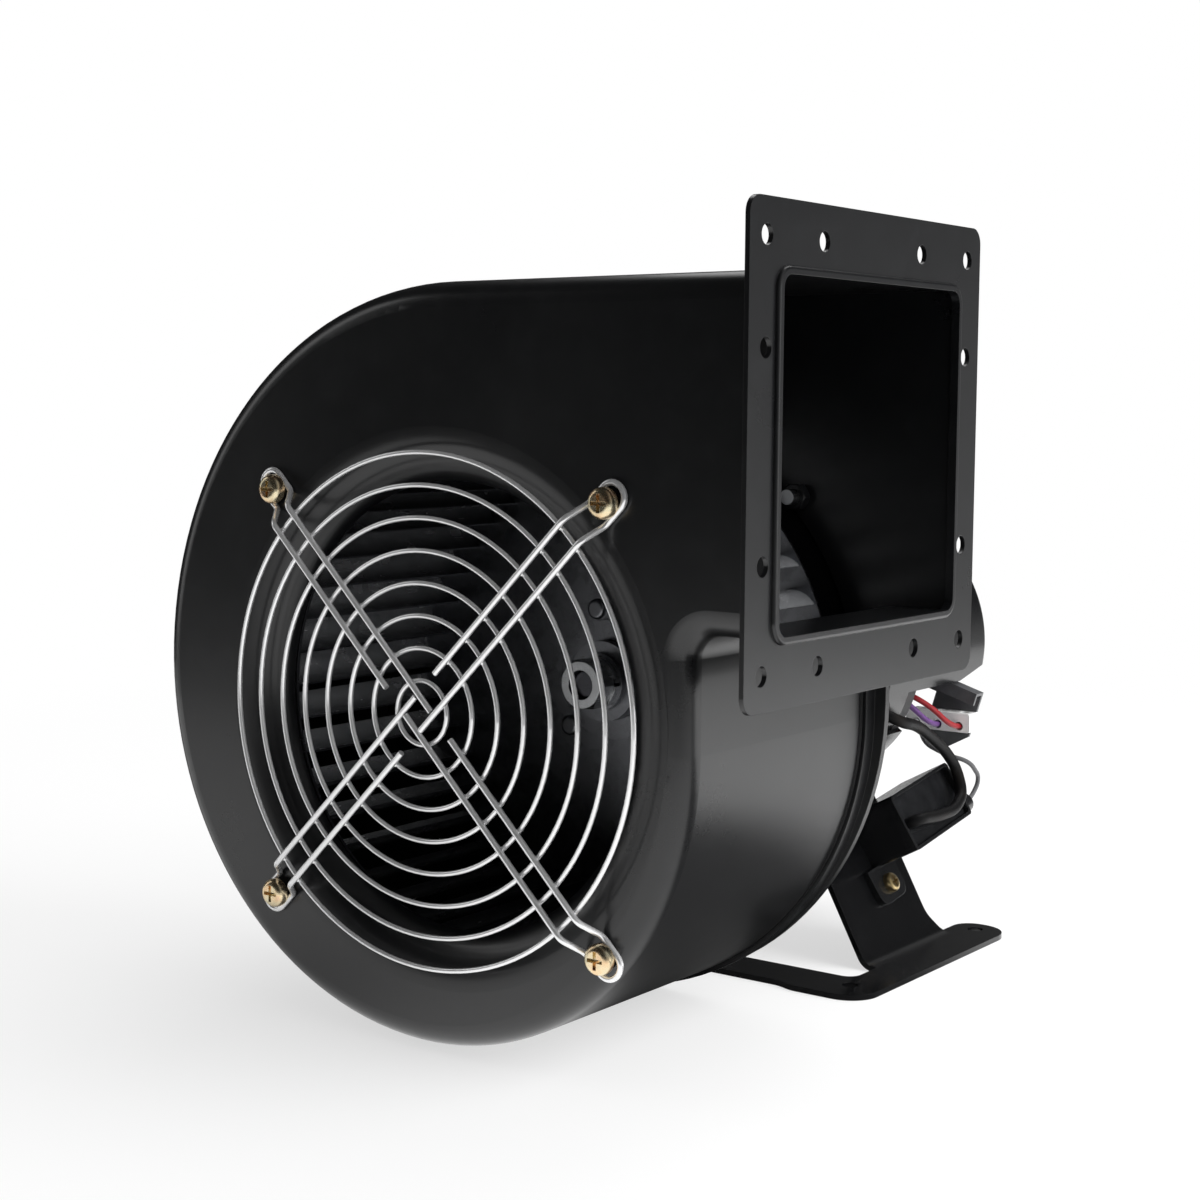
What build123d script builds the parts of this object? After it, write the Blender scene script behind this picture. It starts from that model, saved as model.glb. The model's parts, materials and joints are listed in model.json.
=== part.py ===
from build123d import *
import math
import os

# Centrifugal blower: scroll housing, wire guard, forward-curved wheel, capacitor motor and sheet-steel stand.
# Millimetres. +Z is up, +X leaves the outlet, +Y runs from the inlet to the motor.
# The origin is the centre of the four base holes, on the underside of the stand.

# Wheel axis and guard plane
axis_height = 110.0
shell_front = -77.1

# Scroll housing
sheet = 1.2
face_behind_guard = 5.5
housing_depth = 107.0
scroll_past_wheel = 38.75
scroll_step = 11.5
scroll_shift_x = 2.75
scroll_shift_z = 6.25
face_edge_radius = 8.0
tongue_radius = 7.0
duct_height = 99.8
rim_reach = 6.0
rim_right_reach = 5.5
rim_low_reach = 0.5
bead_reach = 1.5
bead_width = 5.5
groove_width = 1.6
groove_depth = 0.4
groove_to_bead = 0.4

# Inlet bell
bell_to_wall = 6.0
inlet_inside_wheel = 2.0
bell_depth = 11.0

# Outlet flange
flange_thickness = 1.5
flange_front_x = 121.4
flange_side_band = 15.75
flange_end_band = 20.25
flange_corner = 5.0
opening_side_inset = 1.5
opening_end_inset = 0.4
opening_corner = 4.0
lip_width = 2.4
lip_height = 1.3
flange_hole_radius = 2.9
side_hole_past_lip = 4.6
end_hole_past_lip = 7.6
flange_middle_holes = 57.5
flange_side_holes = 59.0

# Wire guard
ring_pitch = 10.0
ring_wire = 0.8
arm_wire = 1.0
weld_gap = 0.05
arm_spread = 8.7
arm_long_start = -3.0
arm_short_start = 14.0
arm_step_before = 11.3
arm_step_length = 6.5
arm_bend = 4.0
screw_past_bell = 6.3
loop_past_screw = 2.4
collar_radius = 3.9
collar_height = 2.5

# Fasteners
m5_radius = 2.5
m5_head_radius = 4.7
m5_head_height = 3.6
m5_nut_flats = 8.0
m5_nut_height = 4.0
m4_radius = 2.0
m4_head_radius = 3.8
m4_head_height = 2.8
m4_nut_flats = 7.0
m4_nut_height = 3.2
m3_radius = 1.5
m3_head_radius = 2.7
m3_head_height = 1.8
recess_share = 0.58
screw_play = 0.25
nut_play = 0.05
seat_gap = 0.3
fit_gap = 0.03

# Fan wheel
wheel_radius = 87.0
wheel_ring_width = 14.0
wheel_front_gap = 3.0
wheel_back_gap = 14.9
wheel_sheet = 1.0
blade_count = 40
blade_sheet = 0.6
blade_curve = 10.5
blade_margin = 0.4
blade_lead_angle = 100.0

# Hub and its nut
hub_radius = 14.0
hub_before_plate = 7.0
hub_past_plate = 8.0
hub_flange_radius = 31.0
hub_flange_thickness = 3.0
collar_outer_radius = 21.0
collar_thickness = 1.2
rivet_circle = 25.0
rivet_count = 3
rivet_turn = 105.0
rivet_radius = 2.0
rivet_head_radius = 3.6
rivet_head_height = 1.6
nut_flats = 16.0
nut_height = 8.0
spring_washer_radius = 8.8
spring_washer_height = 2.2
spring_washer_slot = 1.2
flat_washer_radius = 10.0
flat_washer_height = 2.0
nose_past_hub = 9.5

# Shaft and bearings
nose_radius = 5.0
journal_radius = 6.0
shoulder_radius = 7.0
bearing_outer_radius = 16.0
bearing_width = 10.0
ball_count = 8
ball_radius = 2.95
ball_gap = 0.08
race_thickness = 3.2
bearing_margin = 0.02

# Motor
motor_radius = 50.0
motor_wall = 2.0
motor_length = 103.0
shield_thickness = 6.0
spigot_length = 6.0
spigot_wall = 3.5
shield_boss_radius = 21.0
pocket_floor = 3.0
shaft_hole_radius = 8.0
core_length = 56.0
core_fit = 0.05
core_bore = 25.1
rotor_radius = 24.7
slot_count = 24
slot_width = 3.4
slot_inner = 27.0
slot_outer = 40.0
winding_play = 0.3
winding_inner = 28.0
winding_outer = 42.5
winding_length = 14.0
cage_inner = 15.5
cage_outer = 23.6
cage_ring = 5.0
vane_count = 8
vane_length = 6.0
vane_thickness = 2.0
tie_circle = 45.2
wave_washer_height = 1.2
vent_count = 8
vent_circle = 32.0
vent_length = 9.0
vent_width = 5.0
vent_turn = 22.5

# Plate between scroll and motor
plate_thickness = 2.0
cover_hole_play = 0.6
plate_past_hole = 8.9
plate_screw_past_hole = 4.4
shield_screw_circle = 38.0

# Stand
stand_sheet = 2.0
base_half_width = 78.5
base_front = -62.0
base_back = 57.5
base_corner = 11.5
base_hole_inset = 11.5
base_hole_pitch = 98.0
base_hole_radius = 3.0
bend_inset = 19.5
strip_end_inset = 34.5
strip_setback = 2.5
strip_slope = 6.0
strip_back = -40.5
strip_corner = 12.0
rail_width = 15.0
window_corner = 5.0
rear_ear_width = 21.0
ear_inner_corner = 8.0
leg_front = -23.5
leg_back = 31.5
leg_root_back = 38.0
leg_flare = 8.0
bend_radius = 5.5
saddle_gap = 0.1
saddle_sweep = 26.0
saddle_screw_angle = 14.0
saddle_screw_pitch = 36.0
saddle_screw_length = 4.0

# Capacitor on the right leg, turned a little about the screw in its ear
cap_screw_y = 11.0
cap_screw_below = 98.5
cap_turn = 7.5
cap_length = 52.0
cap_height = 22.5
cap_depth = 21.0
cap_left = -1.6
cap_low = 6.9
cap_wall = 1.3
cap_recess = 2.2
cap_pocket = 17.0
cap_corner = 2.0
ear_width = 21.0
ear_drop = 6.5
ear_corner = 5.0
ear_thickness = 2.5

# Wiring hood
hood_sheet = 1.2
hood_front = 6.0
hood_back = 85.5
hood_edge = -13.5
hood_rear_edge = -8.0
hood_rear_cut = 20.0
hood_corner = 3.0
hood_screw_y = 13.0
hood_screw_angles = (30.0, 90.0, 150.0)
hood_screw_length = 3.5

# Terminal bracket and block, placed along a line that droops from the axis
bracket_droop = 17.0
bracket_sheet = 1.2
bracket_plane = 68.0
bracket_reach = 61.0
bracket_inner = 15.0
bracket_arm_height = 7.0
flag_inner = 42.0
flag_height = 27.0
flag_cut = 8.0
bar_height = 5.0
bar_depth = 5.0
foot_width = 12.0
foot_height = 13.0
block_length = 28.0
block_height = 7.5
block_depth = 8.0
block_centre = (43.0, -29.5)
block_ways = 3
block_port_radius = 1.7
block_port_drop = 1.3
block_screw_radius = 2.0
block_screw_behind = 0.8

# Leads
sleeve_radius = 2.2
thin_lead_radius = 0.9
lead_radius = 1.1
grommet_hole = 3.4
grommet_flange = 5.0
grommet_height = 1.6
grommet_play = 0.3
sleeve_exit_angle = -22.0
sleeve_exit_y = 5.0
boss_radius = 4.0
boss_height = 7.0
boss_place = (11.2, 16.0)
vent_exit_y = 17.2

# Values that follow from those above
shield_y = shell_front - shield_thickness
plate_y = shield_y - plate_thickness
cover_y = plate_y - sheet
rim_y = cover_y - sheet
face_y = rim_y - housing_depth
guard_plane = face_y - face_behind_guard
shell_back = shell_front + motor_length
tail_y = shell_back + shield_thickness
core_front = (shell_front + shell_back - core_length) / 2
core_back = core_front + core_length
front_bearing_y = shield_y + pocket_floor
rear_bearing_y = shell_back - spigot_length - 1.0
shell_inner = motor_radius - motor_wall
scroll_radius = wheel_radius + scroll_past_wheel
right_wall = scroll_shift_x + scroll_radius - 3 * scroll_step
bell_outer_radius = right_wall - bell_to_wall
wheel_inner_radius = wheel_radius - wheel_ring_width
inlet_radius = wheel_inner_radius - inlet_inside_wheel
ring_count = int(bell_outer_radius // ring_pitch)
screw_circle = bell_outer_radius + screw_past_bell
arm_step_start = screw_circle - arm_step_before
arm_step_end = arm_step_start + arm_step_length
wheel_front = face_behind_guard + bell_depth + wheel_front_gap
wheel_back = plate_y - guard_plane - wheel_back_gap
hub_front = wheel_back - hub_before_plate
hub_back = wheel_back + hub_past_plate
shaft_nose = hub_front - nose_past_hub
cover_hole_radius = wheel_radius + cover_hole_play
plate_radius = cover_hole_radius + plate_past_hole
plate_screw_circle = cover_hole_radius + plate_screw_past_hole
opening_width = housing_depth - 2 * opening_side_inset
opening_height = duct_height - 2 * opening_end_inset
flange_width = opening_width + 2 * flange_side_band
flange_height = opening_height + 2 * flange_end_band
bend_x = base_half_width - bend_inset
strip_half_length = base_half_width - strip_end_inset
rail_inner = base_half_width - rail_width
ear_inner = base_half_width - rear_ear_width
neck_top = scroll_shift_z + scroll_radius
neck_floor = neck_top - 2 * sheet - duct_height
neck_end = flange_front_x - flange_thickness
flange_middle_y = (face_y + sheet + cover_y) / 2
flange_middle_z = (neck_top + neck_floor) / 2
screw_offset = screw_circle / math.sqrt(2)
lean = math.degrees(math.atan2(bend_x, axis_height - stand_sheet))
leg_angle = lean - 90.0
axis_point = Vector(0, 0, axis_height)
wheel_axis = Axis((0, 0, axis_height), (0, 1, 0))


def station(y):
    """Plane across the wheel axis: local x is X, local y is height above the axis."""
    return Plane(origin=(0, y, axis_height), x_dir=(1, 0, 0), z_dir=(0, -1, 0))


def slab(face, front, back):
    """Solid between two stations, with the given outline across the axis."""
    return extrude(station(front) * face, amount=front - back)


def turned(profile):
    """Solid of revolution about the wheel axis, from a profile in (radius, Y)."""
    return revolve(Pos(0, 0, axis_height) * profile, wheel_axis, 360)


def ring(inner, outer, front, back):
    """Plain tube or disc on the wheel axis."""
    return turned(Pos((inner + outer) / 2, (front + back) / 2) * Rectangle(outer - inner, back - front))


def around(shape, angle):
    """Copy turned about the wheel axis, from +X towards +Z."""
    return shape.rotate(wheel_axis, -angle)


def outward(angle, radius, y):
    """Plane that looks away from the wheel axis at an angle above +X."""
    turn = math.radians(angle)
    direction = Vector(math.cos(turn), 0, math.sin(turn))
    return Plane(origin=axis_point + direction * radius + Vector(0, y, 0), x_dir=(0, 1, 0), z_dir=direction)


def facing_front(x, height, y):
    """Plane that looks towards -Y, for a screw put in from the front."""
    return Plane(origin=(x, y, axis_height + height), x_dir=(1, 0, 0), z_dir=(0, -1, 0))


def facing_back(x, height, y):
    """Plane that looks towards +Y, for a screw put in from the rear."""
    return Plane(origin=(x, y, axis_height + height), x_dir=(1, 0, 0), z_dir=(0, 1, 0))


def group(parts):
    """Separate solids kept together in one node."""
    return Compound(children=list(parts))


def corner_points(spread_x, spread_z):
    """Corners of a rectangle centred on zero."""
    return [(sx * spread_x / 2, sz * spread_z / 2) for sx in (-1, 1) for sz in (-1, 1)]


def pan_screw(radius, length, head_radius, head_height):
    """Cross-recessed pan head on z = 0, shank towards -Z."""
    head = Cylinder(head_radius, head_height, align=(Align.CENTER, Align.CENTER, Align.MIN))
    head = fillet(head.edges().group_by(Axis.Z)[-1], head_height * 0.6)
    slot = head_radius * recess_share
    cross = Box(2 * slot, slot * 0.42, head_height) + Box(slot * 0.42, 2 * slot, head_height)
    head -= Pos(0, 0, head_height) * cross
    shank = Pos(0, 0, -length / 2) * Cylinder(radius, length)
    return head + shank


def hex_nut(flats, height, bore):
    """Hexagon nut on z = 0 with chamfered corners."""
    corner = flats / math.sqrt(3)
    blank = extrude(RegularPolygon(corner, 6), height)
    turning = Cylinder(corner, height, align=(Align.CENTER, Align.CENTER, Align.MIN))
    turning = chamfer(turning.edges(), corner - flats / 2)
    return (blank & turning) - Cylinder(bore, 3 * height)


def scroll_face(arcs, floor, corner, end):
    """Face inside three quarter arcs (top left, bottom left, bottom right), the tongue and the neck."""
    (first_x, first_z, first), (second_x, second_z, second), (third_x, third_z, third) = arcs
    right = third_x + third
    edges = [
        Line((end, first_z + first), (first_x, first_z + first)),
        CenterArc((first_x, first_z), first, 90, 90),
        CenterArc((second_x, second_z), second, 180, 90),
        CenterArc((third_x, third_z), third, 270, 90),
        Line((right, third_z), (right, floor - corner)),
        CenterArc((right + corner, floor - corner), corner, 180, -90),
        Line((right + corner, floor), (end, floor)),
        Line((end, floor), (end, first_z + first)),
    ]
    return make_face(edges)


def scroll_outline(grow, end):
    """Outline of the scroll wall, moved outwards by grow, with its neck up to x = end."""
    first = scroll_radius + grow
    back_x = scroll_shift_x - scroll_step
    low_z = scroll_shift_z - scroll_step
    arcs = [
        (scroll_shift_x, scroll_shift_z, first),
        (back_x, scroll_shift_z, first - scroll_step),
        (back_x, low_z, first - 2 * scroll_step),
    ]
    return scroll_face(arcs, neck_floor - grow, tongue_radius - grow, end)


def rim_outline(end):
    """Outline of the rear rim, which is wide at the top and nearly flush below."""
    back_x = scroll_shift_x - scroll_step
    wall_low = scroll_shift_z - scroll_radius + scroll_step
    low = wall_low - rim_low_reach
    left = scroll_shift_x - scroll_radius - rim_reach
    top = scroll_shift_z + scroll_radius + rim_reach
    right = back_x + scroll_radius - 2 * scroll_step + rim_right_reach
    third = right - back_x
    second = back_x - left
    second_z = low + second
    first = top - second_z
    arcs = [(left + first, second_z, first), (back_x, second_z, second), (back_x, low + third, third)]
    return scroll_face(arcs, neck_floor - rim_right_reach, tongue_radius - rim_right_reach, end)


def rounded_front(solid, front, radius):
    """Rounds the long edges of a scroll's front face, and leaves its outlet end square."""
    edges = solid.edges().filter_by_position(Axis.Y, front - 0.01, front + 0.01)
    long_edges = [edge for edge in edges if edge.center().X < neck_end - 1]
    return fillet(long_edges, radius)


def inlet_bell():
    """Curved wall that turns the front face inwards to the inlet."""
    lip_y = face_y + bell_depth
    reach = bell_outer_radius - inlet_radius
    outer = EllipticalCenterArc((bell_outer_radius, lip_y), reach, bell_depth, 180, arc_size=90)
    inner = EllipticalCenterArc((bell_outer_radius, lip_y), reach - sheet, bell_depth - sheet, 180,
                                arc_size=90)
    lip = Line(outer @ 0, inner @ 0)
    root = Line(outer @ 1, inner @ 1)
    return turned(make_face([outer, inner, lip, root]))


def guard_screw_points():
    return [(sx * screw_offset, sz * screw_offset) for sx in (-1, 1) for sz in (-1, 1)]


def build_front_shell():
    outer = rounded_front(slab(scroll_outline(0, neck_end), face_y, rim_y), face_y, face_edge_radius)
    bead_front = rim_y - bead_width
    bead = slab(scroll_outline(bead_reach, neck_end), bead_front, rim_y)
    rim = slab(rim_outline(neck_end), rim_y, cover_y)
    groove_back = bead_front - groove_to_bead
    band = slab(scroll_outline(rim_reach, neck_end), groove_back - groove_width, groove_back)
    groove = band - slab(scroll_outline(-groove_depth, neck_end), groove_back - groove_width, groove_back)
    hollow = slab(scroll_outline(-sheet, neck_end + sheet), face_y + sheet, cover_y + sheet)
    hollow = rounded_front(hollow, face_y + sheet, face_edge_radius - sheet)
    mouth = ring(0, bell_outer_radius, face_y - sheet, face_y + 2 * sheet)
    shell = outer - groove + bead + rim - hollow - mouth + inlet_bell()
    inside = face_y + sheet / 2
    for x, z in guard_screw_points():
        shell += slab(Pos(x, z) * Circle(collar_radius), inside, face_y + sheet + collar_height)
        shell -= slab(Pos(x, z) * Circle(m5_radius + nut_play), face_y - sheet, face_y + 2 * face_edge_radius)
    return shell


def build_rear_cover():
    cover = slab(rim_outline(neck_end), cover_y, plate_y)
    cover -= ring(0, cover_hole_radius, cover_y - sheet, plate_y + sheet)
    for x, z in corner_points(plate_screw_circle * math.sqrt(2), plate_screw_circle * math.sqrt(2)):
        cover -= slab(Pos(x, z) * Circle(m5_radius + screw_play), cover_y - sheet, plate_y + sheet)
    return cover


def flange_hole_points():
    """Centres of the twelve holes, as (Y, Z) from the middle of the opening."""
    wide = opening_width + 2 * (lip_width + side_hole_past_lip)
    high = opening_height + 2 * (lip_width + end_hole_past_lip)
    corners = corner_points(wide, high)
    middles = corner_points(flange_middle_holes, high)
    sides = corner_points(wide, flange_side_holes)
    return corners + middles + sides


def build_outlet_flange():
    back = Plane(origin=(neck_end, flange_middle_y, axis_height + flange_middle_z), x_dir=(0, 1, 0),
                 z_dir=(1, 0, 0))
    plate = extrude(RectangleRounded(flange_width, flange_height, flange_corner), flange_thickness)
    lip_face = RectangleRounded(opening_width + 2 * lip_width, opening_height + 2 * lip_width,
                                opening_corner + lip_width)
    lip = extrude(lip_face, flange_thickness + lip_height)
    lip = fillet(lip.edges().group_by(Axis.Z)[-1], lip_height * 0.8)
    opening = extrude(RectangleRounded(opening_width, opening_height, opening_corner), 3 * flange_thickness)
    flange = plate + lip - opening
    for y, z in flange_hole_points():
        flange -= Pos(y, z) * Cylinder(flange_hole_radius, 4 * flange_thickness)
    return back * flange


def build_guard_rings():
    wire = Circle(ring_wire)
    return group(turned(Pos(ring_pitch * (n + 1), guard_plane) * wire) for n in range(ring_count))


def arm_path():
    """Centre line of the hairpin that lies along +X before it is turned to its corner."""
    over = guard_plane - ring_wire - arm_wire - weld_gap
    seat = face_y - arm_wire
    side = arm_spread / 2
    tip = screw_circle + loop_past_screw + side
    route = [
        (arm_long_start, over, -side),
        (arm_step_start, over, -side),
        (arm_step_end, seat, -side),
        (tip, seat, -side),
        (tip, seat, side),
        (arm_step_end, seat, side),
        (arm_step_start, over, side),
        (arm_short_start, over, side),
    ]
    loop_bend = side - 0.05
    bends = [arm_bend, arm_bend, loop_bend, loop_bend, arm_bend, arm_bend]
    return FilletPolyline([(x, y, z + axis_height) for x, y, z in route], radius=bends)


def build_guard_arms():
    path = arm_path()
    section = Plane(origin=path @ 0, z_dir=path % 0) * Circle(arm_wire)
    arm = sweep(section, path)
    return group(around(arm, 45 + 90 * n) for n in range(4))


def build_guard_screws():
    seat = face_y - 2 * arm_wire - weld_gap
    screw = pan_screw(m5_radius, 12.0, m5_head_radius, m5_head_height)
    return group(facing_front(x, z, seat) * screw for x, z in guard_screw_points())


def blade_outline():
    """Thin arc from the wheel's inner to its outer edge, leaning into the rotation."""
    inner = wheel_inner_radius + blade_margin
    outer = wheel_radius - blade_margin - blade_sheet
    lead = math.radians(blade_lead_angle)
    centre_x = inner - blade_curve * math.cos(lead)
    centre_z = -blade_curve * math.sin(lead)
    sweep_angle = 0.0
    while math.hypot(centre_x + blade_curve * math.cos(lead - sweep_angle),
                     centre_z + blade_curve * math.sin(lead - sweep_angle)) < outer:
        sweep_angle += math.radians(0.5)
    start = blade_lead_angle
    size = -math.degrees(sweep_angle)
    thin = CenterArc((centre_x, centre_z), blade_curve - blade_sheet / 2, start, size)
    thick = CenterArc((centre_x, centre_z), blade_curve + blade_sheet / 2, start, size)
    return make_face([thin, thick, Line(thin @ 0, thick @ 0), Line(thin @ 1, thick @ 1)])


def build_wheel_blades():
    front = guard_plane + wheel_front + wheel_sheet
    back = guard_plane + wheel_back - wheel_sheet
    blade = slab(blade_outline(), front, back)
    return group(around(blade, 360.0 / blade_count * n) for n in range(blade_count))


def at_rivets(shape):
    """Copies of a shape at each rivet round the hub."""
    return [around(shape, rivet_turn + 360.0 / rivet_count * n) for n in range(rivet_count)]


def build_wheel_backplate():
    back = guard_plane + wheel_back
    plate = ring(hub_radius + fit_gap, wheel_radius, back - wheel_sheet, back)
    hole = slab(Pos(rivet_circle, 0) * Circle(rivet_radius + fit_gap), back - 2 * wheel_sheet,
                back + wheel_sheet)
    return plate - at_rivets(hole)


def build_wheel_front_ring():
    front = guard_plane + wheel_front
    return ring(wheel_inner_radius, wheel_radius, front, front + wheel_sheet)


def build_wheel_hub():
    front = guard_plane + hub_front
    back = guard_plane + hub_back
    flange_y = guard_plane + wheel_back
    hub = ring(0, hub_radius, front, back) + ring(0, hub_flange_radius, flange_y,
                                                  flange_y + hub_flange_thickness)
    hub -= ring(0, nose_radius + fit_gap, front - 1, back + 1)
    hole = slab(Pos(rivet_circle, 0) * Circle(rivet_radius + fit_gap), flange_y - 1,
                flange_y + 2 * hub_flange_thickness)
    return hub - at_rivets(hole)


def build_hub_collar():
    """Ring pressed on the hub in front of the wheel's back plate."""
    back = guard_plane + wheel_back - wheel_sheet
    return ring(hub_radius + fit_gap, collar_outer_radius, back - collar_thickness, back)


def build_hub_rivets():
    front = guard_plane + wheel_back - wheel_sheet
    back = guard_plane + wheel_back + hub_flange_thickness
    body = slab(Pos(rivet_circle, 0) * Circle(rivet_radius), front - 0.5, back + 0.5)
    head = slab(Pos(rivet_circle, 0) * Circle(rivet_head_radius), front - rivet_head_height, front)
    head = fillet(head.edges().filter_by_position(Axis.Y, front - 2 * rivet_head_height, front - 0.01), 1.2)
    tail = slab(Pos(rivet_circle, 0) * Circle(rivet_head_radius), back, back + rivet_head_height)
    return group(at_rivets(body + head + tail))


def build_flat_washer():
    front = guard_plane + hub_front - flat_washer_height
    return ring(nose_radius + fit_gap, flat_washer_radius, front, front + flat_washer_height)


def build_spring_washer():
    back = guard_plane + hub_front - flat_washer_height
    washer = ring(nose_radius + fit_gap, spring_washer_radius, back - spring_washer_height, back)
    middle = (nose_radius + spring_washer_radius) / 2
    slot = Pos(middle, back, axis_height) * Box(2 * spring_washer_radius - 2 * middle + 4,
                                                4 * spring_washer_height,
                                                spring_washer_slot)
    return washer - slot


def nut_front_y():
    return guard_plane + hub_front - flat_washer_height - spring_washer_height - nut_height


def build_hub_nut():
    nut = hex_nut(nut_flats, nut_height, nose_radius + nut_play)
    return facing_back(0, 0, nut_front_y()) * nut


def build_motor_shaft():
    nose_y = guard_plane + shaft_nose
    hub_seat = guard_plane + hub_back
    front_shoulder = front_bearing_y + bearing_width
    rear_shoulder = rear_bearing_y
    shaft = ring(0, nose_radius, nose_y, hub_seat)
    shaft = chamfer(shaft.edges().group_by(Axis.Y)[0], 0.8)
    shaft += ring(0, journal_radius, hub_seat, front_shoulder)
    shaft += ring(0, shoulder_radius, front_shoulder, rear_shoulder)
    return shaft + ring(0, journal_radius, rear_shoulder, rear_shoulder + bearing_width)


def build_rotor_core():
    return ring(shoulder_radius + fit_gap, rotor_radius, core_front, core_back)


def build_rotor_cage():
    """Cast end rings of the squirrel cage, each with cooling vanes."""
    rings = []
    for side, face in ((-1, core_front), (1, core_back)):
        end = ring(cage_inner, cage_outer, min(face, face + side * cage_ring),
                   max(face, face + side * cage_ring))
        middle = (cage_inner + cage_outer) / 2
        vane_y = face + side * (cage_ring + vane_length / 2)
        vane = Pos(middle, vane_y, axis_height) * Box(cage_outer - cage_inner - 2, vane_length,
                                                      vane_thickness)
        for n in range(vane_count):
            end += around(vane, 360.0 / vane_count * n)
        rings.append(end)
    return group(rings)


def bearing_rings(inner_side):
    """One race of each of the two ball bearings, with its ball groove."""
    pitch = (journal_radius + bearing_outer_radius) / 2
    races = []
    for front in (front_bearing_y, rear_bearing_y):
        middle = front + bearing_width / 2
        if inner_side:
            race = ring(journal_radius + fit_gap, journal_radius + race_thickness, front + bearing_margin,
                        front + bearing_width - bearing_margin)
        else:
            race = ring(bearing_outer_radius - race_thickness, bearing_outer_radius, front + bearing_margin,
                        front + bearing_width - bearing_margin)
        races.append(race - turned(Pos(pitch, middle) * Circle(ball_radius + ball_gap)))
    return group(races)


def build_bearing_balls():
    pitch = (journal_radius + bearing_outer_radius) / 2
    balls = []
    for front in (front_bearing_y, rear_bearing_y):
        ball = Pos(pitch, front + bearing_width / 2, axis_height) * Sphere(ball_radius)
        balls += [around(ball, 360.0 / ball_count * n) for n in range(ball_count)]
    return group(balls)


def build_wave_washer():
    front = rear_bearing_y + bearing_width
    return ring(bearing_outer_radius - race_thickness, bearing_outer_radius - 0.4, front,
                front + wave_washer_height)


def build_motor_plate():
    plate = ring(0, plate_radius, plate_y, shield_y) - ring(0, shaft_hole_radius, plate_y - 1, shield_y + 1)
    for x, z in corner_points(plate_screw_circle * math.sqrt(2), plate_screw_circle * math.sqrt(2)):
        plate -= slab(Pos(x, z) * Circle(m5_radius + screw_play), plate_y - 1, shield_y + 1)
    for x, z in corner_points(shield_screw_circle * math.sqrt(2), shield_screw_circle * math.sqrt(2)):
        plate -= slab(Pos(x, z) * Circle(m5_radius + screw_play), plate_y - 1, shield_y + 1)
    return plate


def build_motor_plate_screws():
    screw = pan_screw(m5_radius, 11.0, m5_head_radius, m5_head_height)
    spread = plate_screw_circle * math.sqrt(2)
    return group(facing_back(x, z, shield_y) * screw for x, z in corner_points(spread, spread))


def build_motor_plate_nuts():
    nut = hex_nut(m5_nut_flats, m5_nut_height, m5_radius + nut_play)
    spread = plate_screw_circle * math.sqrt(2)
    return group(facing_front(x, z, cover_y) * nut for x, z in corner_points(spread, spread))


def shield_screw_holes(front, back, radius):
    spread = shield_screw_circle * math.sqrt(2)
    holes = [slab(Pos(x, z) * Circle(radius), front, back) for x, z in corner_points(spread, spread)]
    return holes


def build_shield_screws():
    screw = pan_screw(m5_radius, plate_thickness + shield_thickness - 1.5, m5_head_radius, m5_head_height)
    spread = shield_screw_circle * math.sqrt(2)
    return group(facing_front(x, z, plate_y) * screw for x, z in corner_points(spread, spread))


def shield_blank(flange_front, flange_back, spigot_end, boss_end):
    """End shield with a centring spigot and a bearing boss on its inner side."""
    spigot_outer = shell_inner - core_fit
    shield = ring(0, motor_radius, flange_front, flange_back)
    inner_face = flange_back if spigot_end > flange_back else flange_front
    low, high = min(inner_face, spigot_end), max(inner_face, spigot_end)
    shield += ring(spigot_outer - spigot_wall, spigot_outer, low, high)
    low, high = min(inner_face, boss_end), max(inner_face, boss_end)
    return shield + ring(0, shield_boss_radius, low, high)


def build_front_shield():
    boss_end = front_bearing_y + bearing_width
    shield = shield_blank(shield_y, shell_front, shell_front + spigot_length, boss_end)
    shield -= ring(0, bearing_outer_radius + fit_gap, front_bearing_y, boss_end + 1)
    shield -= ring(0, shaft_hole_radius, shield_y - 1, front_bearing_y + 1)
    for hole in shield_screw_holes(shield_y - 1, shell_front - 1, m5_radius + nut_play):
        shield -= hole
    for n in range(4):
        shield -= around(slab(Pos(tie_circle, 0) * Circle(m4_radius + nut_play), shield_y + 2,
                              shell_back), 90.0 * n)
    return shield


def build_rear_shield():
    boss_end = rear_bearing_y - bearing_margin
    shield = shield_blank(shell_back, tail_y, shell_back - spigot_length, boss_end)
    pocket_end = rear_bearing_y + bearing_width + wave_washer_height
    shield -= ring(0, bearing_outer_radius + fit_gap, boss_end - 1, pocket_end)
    for n in range(4):
        shield -= around(slab(Pos(tie_circle, 0) * Circle(m4_radius + screw_play), core_back, tail_y + 1),
                         90.0 * n)
    vent = SlotOverall(vent_length, vent_width)
    for n in range(vent_count):
        hole = slab(Pos(vent_circle, 0) * vent, shell_back - 1, tail_y + 1)
        shield -= around(hole, vent_turn + 360.0 / vent_count * n)
    along = math.radians(-bracket_droop)
    foot_u = (bracket_inner + foot_width / 2, foot_height * 0.55)
    x = foot_u[0] * math.cos(along) - foot_u[1] * math.sin(along)
    z = foot_u[0] * math.sin(along) + foot_u[1] * math.cos(along)
    return shield - slab(Pos(x, z) * Circle(m3_radius + nut_play), shell_back + 1.5, tail_y + 1)


def build_tie_bolts():
    length = tail_y - shield_y - 2.5
    bolt = pan_screw(m4_radius, length, m4_head_radius, m4_head_height)
    return group(around(facing_back(tie_circle, 0, tail_y) * bolt, 90.0 * n) for n in range(4))


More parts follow.
